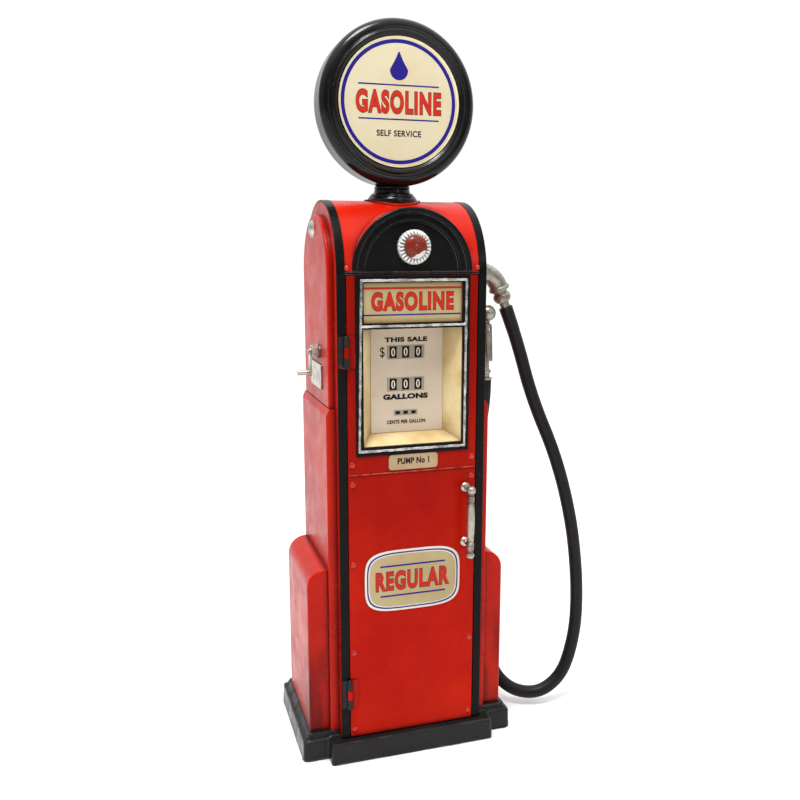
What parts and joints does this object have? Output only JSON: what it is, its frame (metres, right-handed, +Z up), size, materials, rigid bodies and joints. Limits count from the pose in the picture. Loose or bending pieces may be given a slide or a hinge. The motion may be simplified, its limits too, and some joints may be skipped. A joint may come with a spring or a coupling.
{
  "type": "model fuel pump",
  "caption": "Table-top tin model of a 1930s computing fuel pump with a round globe, a hinged cabinet door, a side crank, and a hose and nozzle that rests in a boot.",
  "frame": {"origin": "middle of the underside of the plinth", "axes": "+Z up, the door faces -Y, the crank is on the -X side and the hose and nozzle on the +X side"},
  "size_m": [0.2135, 0.111, 0.4701],
  "materials": {
    "red_paint": "gloss enamel over tinplate, brushed and lightly worn",
    "black_paint": "satin black enamel",
    "black_resin": "satin black paint over a cast base",
    "bare_steel": "plain zinc-plated steel",
    "magnet": "moulded magnet block",
    "nickel": "dull nickel plate",
    "grey_alloy": "cast alloy with silver-grey paint",
    "silver_paint": "hand-brushed silver paint",
    "red_lens": "red-brown lacquered dome",
    "rubber_hose": "smooth satin rubber",
    "cream_paint": "satin cream paint",
    "printed_paper": "printed label under clear varnish"
  },
  "bodies": {
    "cabinet": {"left_side_sheet": "red_paint", "right_side_sheet": "red_paint", "left_upper_panel": "red_paint", "right_upper_panel": "red_paint", "left_middle_panel": "red_paint", "right_middle_panel": "red_paint", "left_fender_panel": "red_paint", "right_fender_panel": "red_paint", "roof_sheet": "red_paint", "back_panel": "red_paint", "arch_hood": "red_paint", "roof_rivets": "red_paint", "roof_flange": "red_paint", "left_edge_band": "black_paint", "right_edge_band": "black_paint", "top_rail": "black_paint", "arch_plate": "black_paint", "neck_collar": "black_paint", "globe_neck": "black_paint", "globe_rim_front": "black_paint", "globe_rim_back": "black_paint", "frame_hinge_leaves": "black_paint", "base_plinth": "black_resin", "neck_bolt": "bare_steel", "hinge_pins": "bare_steel", "crank_bushing": "bare_steel", "door_magnet": "magnet", "side_screw": "nickel", "crank_plate": "nickel", "outlet_flange": "grey_alloy", "outlet_elbow": "grey_alloy", "hose_coupling": "grey_alloy", "nozzle_boot": "grey_alloy", "sight_bezel": "silver_paint", "sight_dome": "red_lens", "hose": "rubber_hose", "globe_faces": "printed_paper"},
    "door": {"door_panel": "red_paint", "window_frame": "black_paint", "window_trim": "silver_paint", "sign_panel": "cream_paint", "dial_tray": "cream_paint", "dial_face": "printed_paper", "name_plate": "printed_paper", "door_badge": "printed_paper", "door_rivets": "red_paint", "handle_grip": "nickel", "handle_posts": "nickel", "handle_rosettes": "nickel", "handle_nuts": "bare_steel", "door_hinge_leaves": "red_paint"},
    "crank": {"crank_shaft": "nickel", "crank_nut": "nickel", "crank_arm": "nickel", "crank_pin": "nickel"},
    "nozzle": {"nozzle_body": "grey_alloy", "nozzle_spout": "grey_alloy", "nozzle_swivel": "grey_alloy", "lever_pin": "bare_steel"},
    "lever": {"nozzle_lever": "grey_alloy"}
  },
  "joints": [
    {"name": "door_hinge", "type": "hinge", "parent": "cabinet", "child": "door", "pos_m": [-0.04295, -0.0479, 0.15], "axis": [0, 0, 1], "range_deg": [-110, 0]},
    {"name": "crank_turn", "type": "hinge", "parent": "cabinet", "child": "crank", "pos_m": [-0.0576, -0.0119, 0.2665], "axis": [1, 0, 0], "continuous": true},
    {"name": "nozzle_withdraw", "type": "slide", "parent": "cabinet", "child": "nozzle", "axis": [1, 0, 0], "range_m": [0, 0.0033]},
    {"name": "lever_squeeze", "type": "hinge", "parent": "nozzle", "child": "lever", "pos_m": [0.0674, -0.0049, 0.2784], "axis": [1, 0, 0], "range_deg": [0, 5], "stiffness_Nm_per_rad": 0.002, "springref_deg": -2.86}
  ]
}
